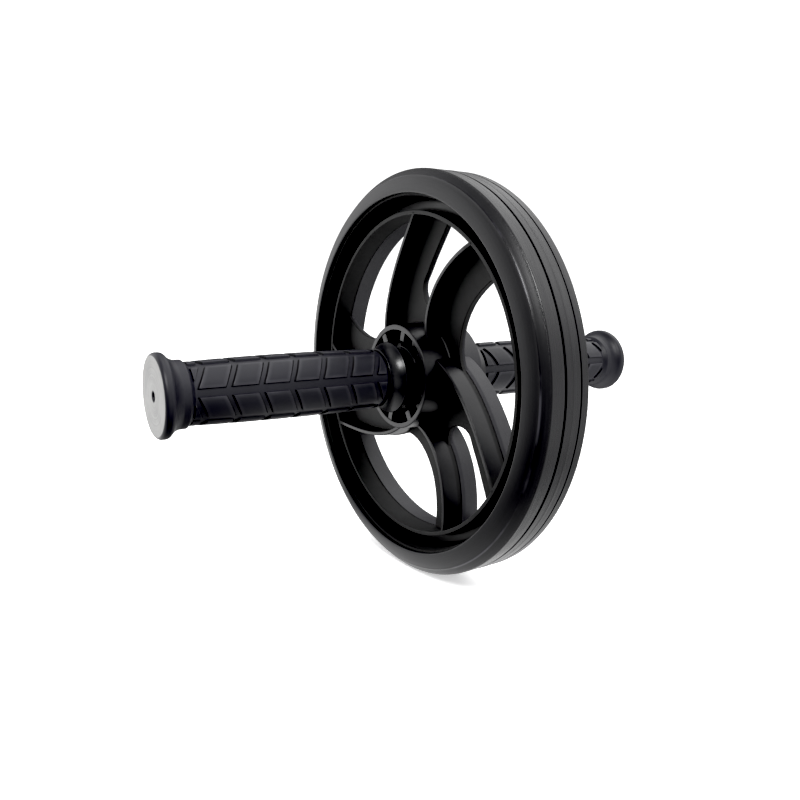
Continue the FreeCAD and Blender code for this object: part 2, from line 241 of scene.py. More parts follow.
class Value:
    """An output socket. Arithmetic on it adds Math nodes to its tree."""

    def __init__(self, graph, socket):
        self.graph = graph
        self.socket = socket

    __add__, __radd__ = operators("ADD")
    __sub__, __rsub__ = operators("SUBTRACT")
    __mul__, __rmul__ = operators("MULTIPLY")
    __truediv__, __rtruediv__ = operators("DIVIDE")

    def __abs__(self):
        return self.graph.math("ABSOLUTE", self)

    def root(self):
        return self.graph.math("POWER", self, 0.5)

    def rise(self, low, high):
        """Smooth step from 0 at low to 1 at high."""
        inputs = {"Value": self, "From Min": low, "From Max": high, "To Min": 0.0, "To Max": 1.0}
        return self.graph.value("ShaderNodeMapRange", {"interpolation_type": "SMOOTHSTEP"}, inputs)


def socket_of(sockets, key):
    """Socket by number, by identifier or by name."""
    if isinstance(key, int):
        return sockets[key]
    for socket in sockets:
        if socket.identifier == key:
            return socket
    return sockets[key]


class Graph:
    """A node tree that is being built."""

    def __init__(self, tree):
        self.tree = tree
        tree.nodes.clear()

    def add(self, kind, settings=None, inputs=None):
        """Adds a node, makes its settings and then sets or links its inputs."""
        node = self.tree.nodes.new(kind)
        for name, value in (settings or {}).items():
            setattr(node, name, value)
        for key, given in (inputs or {}).items():
            socket = socket_of(node.inputs, key)
            for value in given if isinstance(given, list) else [given]:
                if isinstance(value, Value):
                    self.tree.links.new(value.socket, socket)
                else:
                    socket.default_value = value
        return node

    def out(self, node, key=0):
        return Value(self, socket_of(node.outputs, key))

    def value(self, kind, settings=None, inputs=None, key=0):
        """Adds a node and gives one of its outputs."""
        return self.out(self.add(kind, settings, inputs), key)

    def math(self, operation, *values):
        return self.value("ShaderNodeMath", {"operation": operation}, dict(enumerate(values)))

    def mix(self, factor, first, second):
        """Colour between two colours."""
        inputs = {"Factor_Float": factor, "A_Color": first, "B_Color": second}
        return self.value("ShaderNodeMix", {"data_type": "RGBA"}, inputs, "Result_Color")

    def vector(self, x, y, z):
        return self.value("ShaderNodeCombineXYZ", None, {0: x, 1: y, 2: z})

    def parts(self, vector):
        """The three numbers of a vector."""
        node = self.add("ShaderNodeSeparateXYZ", None, {0: vector})
        return [self.out(node, index) for index in range(3)]

    def noise(self, place, scale, detail=2.0, roughness=0.5):
        """Noise from 0 to 1 with features of about one over scale."""
        inputs = {"Vector": place, "Scale": scale, "Detail": detail, "Roughness": roughness}
        return self.value("ShaderNodeTexNoise", {"noise_dimensions": "3D"}, inputs)


# Finishes. Where one changes is given by where a smooth step starts and ends, in mm.

TREAD_EDGE = (91.4, 92.2)
# The painted highlight along the tyre's crease lies at this radius, within this edge.
CREASE_RADIUS = 89.35
CREASE_HIGHLIGHT_EDGE = (0.1, 0.45)
SIDEWALL_EDGE = (11.5, 12.2)
# The web and the near half of the ring's inside get painted shade within these steps.
WEB_FACE = (1.6, 2.6)
WEB_RIM = (70.0, 72.0)
# Beyond the parting line the far mould half is grainier and painted lighter.
PARTING_LINE = (-0.1, 0.2)
RING_INSIDE = (68.0, 70.0)
RING_OUTSIDE = (75.5, 76.5)
# Painted shade in the recess under the tyre starts at this radius.
RIM_INSIDE = (78.0, 79.5)
END_FACE = (124.85, 124.97)
END_FACE_EDGE = (15.3, 15.75)
VENT_EDGE = (2.1, 2.7)

# Scale of the streaks round the axle, which draws them out.
STREAK_SCALE = 0.03


def shade(rgb, factor):
    return tuple(channel * factor for channel in rgb) + (1.0,)


class Surface:
    """A material that is being built, with the object's own place in mm."""

    def __init__(self, name):
        self.material = bpy.data.materials.new(name)
        self.material.use_nodes = True
        self.graph = graph = Graph(self.material.node_tree)
        place = graph.value("ShaderNodeTexCoord", key="Object")
        self.place = graph.value(
            "ShaderNodeVectorMath", {"operation": "SCALE"}, {"Vector": place, "Scale": 1000.0}
        )
        self.x, self.y, self.z = graph.parts(self.place)
        self.radius = (self.x * self.x + self.z * self.z).root()

    def noise(self, scale, detail=2.0, roughness=0.5):
        """Noise with features of about one over scale, in mm."""
        return self.graph.noise(self.place, scale, detail, roughness)

    def streaks(self, along, fine):
        """Noise drawn out round the axle: fine lines across the given measure."""
        place = self.graph.vector(self.x * STREAK_SCALE, along * fine, self.z * STREAK_SCALE)
        return self.graph.noise(place, 1.0, 3.0, 0.6)

    def attribute(self, name):
        return self.graph.value("ShaderNodeAttribute", {"attribute_name": name}, key="Fac")

    def between(self, factor, rgb, low, high):
        """Shades of one colour, from low to high times it."""
        return self.graph.mix(factor, shade(rgb, low), shade(rgb, high))

    def over(self, base, factor, rgb, times):
        """Lays a shade of a colour over a base."""
        return self.graph.mix(factor, base, shade(rgb, times))

    def done(self, base, roughness, height, depth, **constants):
        """Adds the shader and the output. Depth is the bump's depth in mm."""
        graph = self.graph
        bump = {"Strength": 1.0, "Distance": depth / 1000, "Height": height}
        inputs = {
            "Base Color": base,
            "Roughness": roughness,
            "Normal": graph.value("ShaderNodeBump", None, bump),
        }
        for name, value in constants.items():
            inputs[name.replace("_", " ")] = value
        shader = graph.value("ShaderNodeBsdfPrincipled", None, inputs)
        graph.add("ShaderNodeOutputMaterial", None, {"Surface": shader})
        return self.material


def tyre_rubber(finishes):
    """Satin rubber: turning lines on the tread, rubbed patches, a painted highlight along the crease and a
    fine grain.
    """
    surface = Surface("tyre_rubber")
    tread = surface.radius.rise(*TREAD_EDGE)
    along = surface.radius + tread * (surface.y - surface.radius)
    fine = surface.streaks(along, 2.6)
    broad = surface.streaks(along, 0.5)
    patches = surface.noise(0.045, 3.0)
    grain = surface.noise(3.0)
    lines = fine.rise(0.35, 0.7)
    scuffs = fine.rise(0.58, 0.74) * patches.rise(0.42, 0.66)
    # Painted highlight: a pale line along the sidewall's crease, broken into patches.
    crease = 1.0 - abs(surface.radius - CREASE_RADIUS).rise(*CREASE_HIGHLIGHT_EDGE)
    crease = crease * abs(surface.y).rise(*SIDEWALL_EDGE)
    base = surface.between(patches * 0.6 + lines * 0.4, finishes.tyre, 0.75, 1.35)
    base = surface.over(base, scuffs * (0.2 + tread * 0.8), finishes.tyre, 5.0)
    base = surface.over(base, crease * patches.rise(0.42, 0.62) * 0.7, finishes.tyre, 9.0)
    roughness = 0.33 + patches * 0.1 + broad * 0.08 + tread * (lines * 0.24 - 0.18) - crease * 0.12
    height = grain * 0.25 + fine * (0.2 + tread * 0.8)
    return surface.done(base, roughness, height, 0.07)


def wheel_plastic(finishes):
    """Moulded black plastic: flow marks, rubbed places, webs and the near half of the ring's inside made
    rougher and darkened with painted shade, painted shade in the rim wall's recess, and a grainier far
    mould half painted lighter.
    """
    surface = Surface("wheel_plastic")
    graph = surface.graph
    flow = surface.noise(0.06, 4.0, 0.62)
    grain = surface.noise(2.4, 3.0, 0.6)
    rubbed = surface.noise(0.22, 3.0)
    scratches = surface.streaks(surface.radius + surface.y, 1.5).rise(0.64, 0.76)
    far_half = surface.y.rise(*PARTING_LINE)
    # Painted shade: the recessed web and the near half of the ring's inside are darkened, and made
    # rougher.
    web = (1.0 - abs(surface.y).rise(*WEB_FACE)) * (1.0 - surface.radius.rise(*WEB_RIM))
    ring = surface.radius.rise(*RING_INSIDE) * (1.0 - surface.radius.rise(*RING_OUTSIDE))
    dull_and_shaded = graph.math("MAXIMUM", web, ring * (1.0 - far_half))
    # Painted shade: the rim wall in the recess under the tyre is darkened, and made rougher.
    recess = surface.radius.rise(*RIM_INSIDE)
    base = surface.between(flow, finishes.wheel, 0.8, 1.3)
    base = surface.over(base, scratches * rubbed.rise(0.5, 0.7) * 0.5, finishes.wheel, 4.0)
    base = surface.over(base, dull_and_shaded, finishes.wheel, 0.25)
    # Far mould half: a grainier finish, and painted light that makes it lighter as if lit from behind.
    base = graph.mix(far_half, base, surface.between(grain, finishes.wheel, 1.5, 4.5))
    base = surface.over(base, recess, finishes.wheel, 0.2)
    roughness = 0.25 + flow * 0.1 + rubbed * 0.07 + grain * 0.04
    roughness = roughness + recess * 0.4 + dull_and_shaded * 0.25 + far_half * 0.12
    height = grain * (0.6 + far_half * 0.8) + flow * 0.4
    return surface.done(base, roughness, height, 0.06)


def grip_rubber(finishes):
    """Blue-black rubber: painted highlights along block edges, painted shade down block flanks, and a pale
    grey smooth flat end face.
    """
    surface = Surface("grip_rubber")
    graph = surface.graph
    patches = surface.noise(0.09, 3.0)
    grain = surface.noise(4.0)
    smears = surface.streaks(surface.y, 0.35)
    # Painted highlight along block edges, and painted shade on block flanks, read from attributes.
    edge_highlight = surface.attribute("edge_highlight")
    flank = surface.attribute("flank")
    end = abs(surface.y).rise(*END_FACE) * (1.0 - surface.radius.rise(*END_FACE_EDGE))
    turning = graph.noise(graph.vector(surface.radius * 1.3, surface.y, 0.0), 1.0, 3.0)
    mottle = (patches * 0.6 + turning * 0.4).rise(0.3, 0.66)
    # The flat end face is pale grey, mottled by noise, and smoother.
    grey = surface.between(mottle, finishes.end_face, 0.5, 1.15)
    base = surface.between(patches, finishes.grip, 0.8, 1.35)
    # Painted highlight: block edges lightened.
    base = surface.over(base, edge_highlight * (0.4 + patches.rise(0.3, 0.7) * 0.5), finishes.tyre, 6.5)
    # Painted shade: block flanks darkened, and made rougher.
    base = surface.over(base, flank, finishes.grip, 0.15)
    base = graph.mix(end * surface.radius.rise(*VENT_EDGE), base, grey)
    roughness = 0.37 + patches * 0.1 + smears * 0.06 - edge_highlight * 0.06 - end * 0.08 + flank * 0.4
    height = grain * (0.5 - end * 0.3) + smears * 0.15
    return surface.done(base, roughness, height, 0.06)


def collar_plastic(finishes):
    """Glossy black plastic with faint turning lines and dulled patches."""
    surface = Surface("collar_plastic")
    haze = surface.noise(0.12, 3.0)
    lines = surface.streaks(surface.y + surface.radius, 3.0)
    base = surface.between(haze, finishes.collar, 0.8, 1.4)
    roughness = 0.26 + haze * 0.1 + lines.rise(0.5, 0.75) * 0.05
    height = lines * 0.5 + haze
    return surface.done(base, roughness, height, 0.02, Coat_Weight=0.15, Coat_Roughness=0.15)


def plated_steel(finishes):
    """Zinc-plated steel drawn round the axle."""
    surface = Surface("plated_steel")
    lines = surface.streaks(surface.y + surface.radius, 5.0)
    cloud = surface.noise(0.15, 3.0)
    base = surface.between(cloud * 0.6 + lines * 0.4, finishes.steel, 0.75, 1.1)
    roughness = 0.24 + lines * 0.14 + cloud * 0.08
    return surface.done(base, roughness, lines, 0.03, Metallic=1.0)


def blackened_steel(finishes):
    """Spring steel with a black oxide film that is thin in places."""
    surface = Surface("blackened_steel")
    lines = surface.streaks(surface.y + surface.radius, 4.0)
    cloud = surface.noise(0.3, 3.0)
    base = surface.between(cloud * 0.5 + lines * 0.5, finishes.black_steel, 0.7, 1.6)
    roughness = 0.38 + lines * 0.14 + cloud * 0.1
    return surface.done(base, roughness, lines, 0.03, Metallic=1.0)


def bush_plastic(finishes):
    """Dark nylon with a waxy cast."""
    surface = Surface("bush_plastic")
    cloud = surface.noise(0.2, 3.0)
    grain = surface.noise(3.0)
    base = surface.between(cloud, finishes.bush, 0.8, 1.3)
    return surface.done(base, 0.4 + cloud * 0.12, grain, 0.03)


# Shapes

FULL_TURN = 2 * math.pi
CORNER_SHARE = 1 - math.sqrt(0.5)
SMOOTH_LIMIT = math.radians(38)
TYRE_SEGMENTS = 256
RIM_SEGMENTS = 192
HUB_SEGMENTS = 96
BOSS_SEGMENTS = 72
GRIP_SEGMENTS = 112
WEB_SEGMENTS = 180


def arc(start, middle, end, steps):
    """Points on the circle through three points, without the first one."""
    a, b, c = (complex(*point[:2]) for point in (start, middle, end))
    ratio = (c - a) / (b - a)
    centre = (b - a) * (ratio - abs(ratio) ** 2) / (2j * ratio.imag) + a
    sweep = cmath.phase((c - centre) / (a - centre))
    turns = (cmath.rect(1.0, sweep * step / steps) for step in range(1, steps + 1))
    points = [centre + (a - centre) * turn for turn in turns]
    return [(point.real, point.imag) for point in points]


def corner_middle(face_end, side_end):
    """Middle of the round corner between a flat end face and a side."""
    return (
        side_end[0] + CORNER_SHARE * (face_end[0] - side_end[0]),
        face_end[1] + CORNER_SHARE * (side_end[1] - face_end[1]),
    )


def rounded(points, steps=4):
    """Closed outline of radius and axle place. A third number on a point rounds it."""
    result = []
    for index, point in enumerate(points):
        at = Vector(point[:2])
        if len(point) == 2:
            result.append(at)
            continue
        before = Vector(points[index - 1][:2]) - at
        after = Vector(points[(index + 1) % len(points)][:2]) - at
        first = at + before.normalized() * point[2]
        last = at + after.normalized() * point[2]
        for step in range(steps + 1):
            share = step / steps
            result.append(first * (1 - share) ** 2 + at * 2 * share * (1 - share) + last * share ** 2)
    return result


def on_side(outline, side):
    """Outline moved to the left, for -1, or the right of the middle plane."""
    return [Vector((point.x, point.y * side)) for point in outline]


def add_turned(shape, outline, segments):
    """Adds a ring made by turning a closed outline about the axle."""
    rings = []
    for step in range(segments):
        turn = FULL_TURN * step / segments
        across, up = math.cos(turn), math.sin(turn)
        rings.append([shape.verts.new((p.x * across, p.y, p.x * up)) for p in outline])
    for near, far in zip(rings, rings[1:] + rings[:1]):
        for index in range(len(outline)):
            shape.faces.new((near[index - 1], near[index], far[index], far[index - 1]))


def polar(radius, turn):
    """Point in the wheel's plane, with the axle along the third axis."""
    return Vector((radius * math.cos(turn), radius * math.sin(turn), 0.0))


def through(points, steps):
    """Smooth line through points, by one polynomial in the distance along them."""
    marks = [0.0]
    for first, second in zip(points, points[1:]):
        marks.append(marks[-1] + (second - first).length)
    line = []
    for step in range(steps + 1):
        here = marks[-1] * step / steps
        total = Vector((0.0, 0.0, 0.0))
        for point, own in zip(points, marks):
            weight = 1.0
            for mark in marks:
                if mark != own:
                    weight *= (here - mark) / (own - mark)
            total += point * weight
        line.append(total)
    return line


def flowing(points, steps=6):
    """Smooth line through many points, by a cubic spline in the distance along them."""
    gaps = [(second - first).length for first, second in zip(points, points[1:])]
    count = len(points)
    places = numpy.array(points)
    rows = numpy.eye(count)
    turns = numpy.zeros((count, 3))
    for index in range(1, count - 1):
        before, after = gaps[index - 1], gaps[index]
        rows[index, index - 1:index + 2] = before, 2 * (before + after), after
        leave = (places[index + 1] - places[index]) / after
        arrive = (places[index] - places[index - 1]) / before
        turns[index] = 6 * (leave - arrive)
    bends = numpy.linalg.solve(rows, turns)
    line = [points[0]]
    for index, gap in enumerate(gaps):
        for step in range(1, steps + 1):
            far = step / steps
            near = 1 - far
            straight = near * places[index] + far * places[index + 1]
            bend = (near ** 3 - near) * bends[index] + (far ** 3 - far) * bends[index + 1]
            line.append(Vector(straight + bend * gap ** 2 / 6))
    return line


def plain_mesh(shape, name):
    mesh = bpy.data.meshes.new(name)
    shape.to_mesh(mesh)
    shape.free()
    return mesh


def mesh_of(shape, name):
    """Plain mesh of a finished shape, with every closed shell facing outwards."""
    bmesh.ops.recalc_face_normals(shape, faces=shape.faces)
    return plain_mesh(shape, name)


def turned_mesh(name, outline, segments):
    shape = bmesh.new()
    add_turned(shape, outline, segments)
    return mesh_of(shape, name)


def line_mesh(name, lines, closed=False):
    """Mesh of loose edges along lines."""
    shape = bmesh.new()
    for line in lines:
        dots = [shape.verts.new(point) for point in line]
        pairs = list(zip(dots, dots[1:]))
        if closed:
            pairs.append((dots[-1], dots[0]))
        for pair in pairs:
            shape.edges.new(pair)
    return plain_mesh(shape, name)


def new_object(name, data):
    """New object in the scene."""
    item = bpy.data.objects.new(name, data)
    bpy.context.scene.collection.objects.link(item)
    return item


def evaluated(item):
    """Plain mesh of an object with its modifiers, which is then deleted."""
    graph = bpy.context.evaluated_depsgraph_get()
    mesh = bpy.data.meshes.new_from_object(item.evaluated_get(graph))
    bpy.data.objects.remove(item)
    return mesh


def finish_piece(name, mesh, material, body, slot, *nodes):
    """Object for a finished mesh, smooth up to a clear edge, on its body in place of CAD nodes."""
    mesh.materials.clear()
    mesh.materials.append(material)
    mesh.polygons.foreach_set("use_smooth", [True] * len(mesh.polygons))
    mesh.set_sharp_from_angle(angle=SMOOTH_LIMIT)
    draft = new_object(name, mesh)
    normals = draft.modifiers.new("normals", "WEIGHTED_NORMAL")
    normals.keep_sharp = True
    piece = new_object(name, evaluated(draft))
    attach(piece, body)
    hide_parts(*nodes)


def coat_nodes(material, *nodes):
    """Gives CAD nodes a finish."""
    for node in nodes:
        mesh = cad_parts[node].data
        mesh.materials.clear()
        mesh.materials.append(material)


# Geometry node trees

# A block at the pattern's end that is left with a length below this, in metres, sinks this deep.
SHORTEST_BLOCK = (0.00005, 0.0003)
SINK_DEPTH = 0.0013


class Builder(Graph):
    """A Geometry Nodes tree with named inputs."""

    def __init__(self, name, **inputs):
        super().__init__(bpy.data.node_groups.new(name, "GeometryNodeTree"))
        face = self.tree.interface
        face.new_socket("Geometry", in_out="INPUT", socket_type="NodeSocketGeometry")
        self.identifiers = {}
        for label, kind in inputs.items():
            title = label.replace("_", " ")
            socket = face.new_socket(title, in_out="INPUT", socket_type="NodeSocket" + kind)
            self.identifiers[label] = socket.identifier
        face.new_socket("Geometry", in_out="OUTPUT", socket_type="NodeSocketGeometry")
        self.source = self.add("NodeGroupInput")
        self.geometry = self.out(self.source)

    def given(self, label):
        return self.out(self.source, self.identifiers[label])

    def given_shape(self, label):
        """Geometry of the object that an input names."""
        inputs = {"Object": self.given(label)}
        return self.value("GeometryNodeObjectInfo", {"transform_space": "ORIGINAL"}, inputs, "Geometry")

    def dots(self, count):
        """Points to put copies on, all at the origin."""
        return self.value("GeometryNodeMeshLine", None, {"Count": count, "Offset": (0.0, 0.0, 0.0)})

    def about_axle(self, geometry, count):
        """Copies of a geometry at even turns about the axle."""
        turn = self.value("GeometryNodeInputIndex") * -FULL_TURN / count
        inputs = {
            "Points": self.dots(count),
            "Instance": geometry,
            "Rotation": self.vector(0.0, turn, 0.0),
        }
        return self.value("GeometryNodeInstanceOnPoints", None, inputs)

    def moved(self, geometry, position):
        return self.value("GeometryNodeSetPosition", None, {"Geometry": geometry, "Position": position})

    def real(self, geometry):
        return self.value("GeometryNodeRealizeInstances", None, {0: geometry})

    def close(self, geometry, material):
        """Ends the tree in real geometry with its material."""
        inputs = {"Geometry": self.real(geometry), "Material": material}
        self.add("NodeGroupOutput", None, {0: self.value("GeometryNodeSetMaterial", None, inputs)})

    def run(self, name, mesh, **values):
        """Runs the tree on a mesh and gives the result as a plain mesh."""
        item = new_object(name, mesh)
        modifier = item.modifiers.new(name, "NODES")
        modifier.node_group = self.tree
        for label, value in values.items():
            modifier[self.identifiers[label]] = value
        return evaluated(item)


def spoke_tree():
    """Sweeps a wall's section along each path and repeats the set round the wheel."""
    tree = Builder("spoke_walls", Section="Object", Pairs="Int", Finish="Material")
    rail = tree.value("GeometryNodeMeshToCurve", None, {"Mesh": tree.given_shape("Section")})
    path = tree.value("GeometryNodeMeshToCurve", None, {"Mesh": tree.geometry})
    upright = tree.value("GeometryNodeSetCurveNormal", {"mode": "Z_UP"}, {"Curve": path})
    sweep = {"Curve": upright, "Profile Curve": rail, "Fill Caps": True}
    wall = tree.value("GeometryNodeCurveToMesh", None, sweep)
    stand = {"Geometry": wall, "Rotation": (math.pi / 2, 0, 0)}
    stood = tree.value("GeometryNodeTransform", None, stand)
    tree.close(tree.about_axle(stood, tree.given("Pairs")), tree.given("Finish"))
    return tree


def rib_tree():
    """Repeats one rib round the hub."""
    tree = Builder("hub_ribs", Count="Int", Finish="Material")
    tree.close(tree.about_axle(tree.geometry, tree.given("Count")), tree.given("Finish"))
    return tree


def block_tree():
    """Lays flat blocks out in rows, slants them and wraps them round the grip's sleeve.

    A flat block has the turn about the axle as X, the place along it as Y and its height as Z.
    """
    tree = Builder(
        "grip_blocks",
        Block="Object", Rows="Int", Blocks="Int", First_Row="Float", Pitch="Float",
        First_Block="Float", Block_Length="Float", Slant="Float", Low_End="Float", High_End="Float",
        Middle="Float", Low_Radius="Float", Middle_Radius="Float", High_Radius="Float",
        Side="Float", Finish="Material",
    )
    rows = tree.given("Rows")
    blocks = tree.given("Blocks")
    step = FULL_TURN / rows
    pitch = tree.given("Pitch")
    first = tree.given("First_Block")
    index = tree.value("GeometryNodeInputIndex")
    row = tree.math("FLOOR", (index + 0.5) / blocks)
    corner = tree.vector(row * step, first + (index - row * blocks) * pitch, 0.0)
    spread = tree.moved(tree.dots(rows * blocks), corner)
    copies = {"Points": spread, "Instance": tree.given_shape("Block")}
    flat = tree.real(tree.value("GeometryNodeInstanceOnPoints", None, copies))

    # Each block's middle shifts along the axle with the turn, and its ends stop at the pattern's ends.
    turn, along, height = tree.parts(tree.value("GeometryNodeInputPosition"))
    own_row = tree.math("ROUND", turn / step)
    own_block = first + tree.math("ROUND", (along - first) / pitch) * pitch
    lean = 1.0 - 2.0 * tree.math("MODULO", own_row, 2.0)
    slope = tree.math("TANGENT", tree.given("Slant")) * tree.given("Middle_Radius")
    centre = own_block + lean * slope * tree.math("SINE", turn - own_row * step)
    half = tree.given("Block_Length") / 2
    low_end = tree.given("Low_End")
    high_end = tree.given("High_End")
    low = tree.math("MINIMUM", tree.math("MAXIMUM", centre - half, low_end), high_end)
    high = tree.math("MAXIMUM", tree.math("MINIMUM", centre + half, high_end), low_end)
    room = high - low
    axle_place = (low + high) / 2 + (along - own_block) * room / (half * 2)

    # The tops follow a parabola through three radii. A block with no room left sinks into the sleeve.
    marks = (low_end, tree.given("Middle"), high_end)
    top = 0.0
    for label, own in zip(("Low_Radius", "Middle_Radius", "High_Radius"), marks):
        share = tree.given(label)
        for mark in marks:
            if mark is not own:
                share = share * (axle_place - mark) / (own - mark)
        top = top + share
    radius = top + height - (1.0 - room.rise(*SHORTEST_BLOCK)) * SINK_DEPTH
    around = tree.given("First_Row") + turn
    place = tree.vector(
        radius * tree.math("COSINE", around),
        axle_place * tree.given("Side"),
        radius * tree.math("SINE", around),
    )
    joined = tree.value("GeometryNodeJoinGeometry", None, {0: [tree.geometry, tree.moved(flat, place)]})
    tree.close(joined, tree.given("Finish"))
    return tree


# Pieces

SIDES = (("left", -1.0), ("right", 1.0))
RIDGE_SLOPE = 0.7
FILLET_SHARE = 0.29
MERGE_DISTANCE = 1e-7

# A spoke's wall runs through these shares of the way from hub to ring, at these angles in degrees.
SPOKE_SHARES = (0.0, 0.22, 0.573, 1.0)
FIRST_SPOKE = (143.5, 121.3, 100.0, 86.0)
SECOND_SPOKE = (48.5, 62.5, 61.0, 52.0)

# Where a window's sides start and how near its end comes to the hub, in metres outside the hub.
NARROW_SIDES = 0.0141
NARROW_END = 0.0081
WIDE_UPPER_SIDE = 0.0231
WIDE_LOWER_SIDE = 0.0121
WIDE_END = 0.0071
WIDE_END_ANGLE = math.radians(17.0)

# How much painted highlight, and how much painted shade down a flank, the rings of points from a block's
# border inwards get.
BLOCK_EDGE_HIGHLIGHT = (0.0, 0.2, 1.0, 0.6)
BLOCK_FLANK_SHADE = (1.0, 0.9, 0.2, 0.0)


def groove_outline(top, depth, middle, width):
    """Part of the tread's outline that dips into one groove."""
    fine = width / 5
    right = middle + width / 2
    left = middle - width / 2
    return [(top, right, fine), (top - depth, right, fine), (top - depth, left, fine), (top, left, fine)]


def tyre_outline(sizes):
    """Tyre's cross-section: tread with grooves and mould line, shoulders, sidewalls, beads and seat."""
    top = sizes.tread_radius - sizes.mould_line_height
    edge = (top, -sizes.tread_half_width)
    crease = (sizes.crease_radius, -sizes.crease_offset)
    bead_face = (sizes.bead_radius + sizes.bead_rounding, -sizes.bead_offset)
    bead_side = (sizes.bead_radius, sizes.bead_rounding - sizes.bead_offset)
    shoulder = (
        (edge[0] + crease[0]) / 2 + sizes.shoulder_bulge,
        (edge[1] + crease[1]) / 2 - sizes.shoulder_bulge,
    )
    wall = ((crease[0] + bead_face[0]) / 2, (crease[1] + bead_face[1]) / 2 - sizes.sidewall_bulge)
    ridge = sizes.crease_ridge * RIDGE_SLOPE
    side = [edge + (sizes.edge_rounding,)]
    side += arc(edge, shoulder, crease, 8)[:-1]
    side += [(crease[0] + ridge, crease[1] - ridge, sizes.crease_ridge)]
    side += arc(crease, wall, bead_face, 14)
    side += arc(bead_face, corner_middle(bead_face, bead_side), bead_side, 6)
    side += [(sizes.bead_radius, -sizes.seat_half_width), (sizes.seat_radius, -sizes.seat_half_width)]
    other_side = [(point[0], -point[1]) + tuple(point[2:]) for point in reversed(side)]
    line = sizes.groove_shift
    foot = sizes.mould_line_width / 2
    tread = groove_outline(top, sizes.groove_depth, line + sizes.groove_offset, sizes.right_groove_width)
    tread += [(top, line + foot), (sizes.tread_radius, line + foot / 4)]
    tread += [(sizes.tread_radius, line - foot / 4), (top, line - foot)]
    tread += groove_outline(top, sizes.groove_depth, line - sizes.groove_offset, sizes.left_groove_width)
    return rounded(tread + side + other_side)


def rim_outlines(sizes, tyre):
    """Cross-sections of the moulding's turned walls: rim wall, inner ring, hub, boss and hub fillets."""
    edge = sizes.edge_rounding
    web = sizes.web_thickness / 2
    depth = sizes.spoke_half_depth
    step = sizes.parting_step
    draft = sizes.draft
    seat = tyre.seat_radius
    rim_inner = seat - sizes.rim_wall
    half_width = tyre.seat_half_width
    rim = [
        (rim_inner, -half_width, edge * 1.5),
        (seat - edge / 10, -half_width),
        (seat - edge / 10, half_width),
        (rim_inner, half_width, edge * 1.5),
        (rim_inner - sizes.rim_draft, web, edge),
        (rim_inner - sizes.rim_draft, -web, edge),
    ]
    inside = sizes.ring_radius - sizes.ring_wall
    ring = [
        (inside, -depth, edge),
        (sizes.ring_radius, -depth, edge),
        (sizes.ring_radius, depth, edge),
        (inside - step, depth, edge),
        (inside - step - draft, 0.0, step / 3),
        (inside - draft, 0.0, step / 3),
    ]
    hub_inside = sizes.hub_radius - sizes.hub_wall
    hub = [
        (hub_inside, -sizes.hub_half_width, edge),
        (sizes.hub_radius, -sizes.hub_half_width, edge),
        (sizes.hub_radius + draft, 0.0, step / 3),
        (sizes.hub_radius + draft + step, 0.0, step / 3),
        (sizes.hub_radius + step, sizes.hub_half_width, edge),
        (hub_inside, sizes.hub_half_width, edge),
    ]
    boss = [
        (sizes.boss_bore, -sizes.boss_half_width, edge),
        (sizes.boss_radius, -sizes.boss_half_width, edge),
        (sizes.boss_radius, sizes.boss_half_width, edge),
        (sizes.boss_bore, sizes.boss_half_width, edge),
    ]
    outlines = [(rim, RIM_SEGMENTS), (ring, RIM_SEGMENTS), (hub, HUB_SEGMENTS), (boss, BOSS_SEGMENTS)]
    hub_foot = sizes.hub_radius + draft * (1 - web / sizes.hub_half_width)
    bend = sizes.hub_fillet * FILLET_SHARE
    for side, radius in ((-1.0, hub_foot), (1.0, hub_foot + step)):
        start = (radius, side * (web + sizes.hub_fillet))
        end = (radius + sizes.hub_fillet, side * web)
        middle = (radius + bend, side * (web + bend))
        root = radius - sizes.hub_wall / 4
        fillet = [start] + arc(start, middle, end, 5) + [(end[0], 0.0), (root, 0.0), (root, start[1])]
        outlines.append((fillet, HUB_SEGMENTS))
    return [(rounded(points), segments) for points, segments in outlines]


def spoke_line(sizes, degrees, turn=0.0, steps=28):
    """Centre line of a spoke's wall, from the hub to the ring."""
    inner = sizes.hub_radius - sizes.hub_wall / 2
    outer = sizes.ring_radius - sizes.ring_wall / 2
    points = []
    for share, degree in zip(SPOKE_SHARES, degrees):
        points.append(polar(inner + share * (outer - inner), math.radians(degree) + turn))
    return through(points, steps)


def web_edge(sizes, line):
    """Free edge of a spoke's web: its wall's line turned back by the web's width."""
    return [Matrix.Rotation(-sizes.web_width / point.length, 3, "Z") @ point for point in line]


def beyond(line, radius):
    return [point for point in line if point.length > radius]


def closed_on_ring(line, steps=16):
    """Closes a window's line along the ring that it starts and ends on."""
    start = math.atan2(line[-1].y, line[-1].x)
    sweep = math.remainder(math.atan2(line[0].y, line[0].x) - start, FULL_TURN)
    radius = line[0].length
    return line + [polar(radius, start + sweep * step / steps) for step in range(1, steps)]


def window_lines(sizes):
    """Outlines of the narrow window inside one spoke pair and the wide one after it."""
    hub = sizes.hub_radius
    first = spoke_line(sizes, FIRST_SPOKE, steps=10)
    second = spoke_line(sizes, SECOND_SPOKE, steps=10)
    following = spoke_line(sizes, FIRST_SPOKE, -FULL_TURN / sizes.spoke_pairs, steps=10)
    inner = beyond(second, hub + NARROW_SIDES)[::-1]
    outer = beyond(web_edge(sizes, first), hub + NARROW_SIDES)
    end = (inner[-1] + outer[0]).normalized() * (hub + NARROW_END)
    narrow = flowing(inner + [end] + outer)
    upper = beyond(web_edge(sizes, second), hub + WIDE_UPPER_SIDE)[::-1]
    lower = beyond(following, hub + WIDE_LOWER_SIDE)
    wide = flowing(upper + [polar(hub + WIDE_END, WIDE_END_ANGLE)] + lower)
    return [closed_on_ring(narrow), closed_on_ring(wide)]


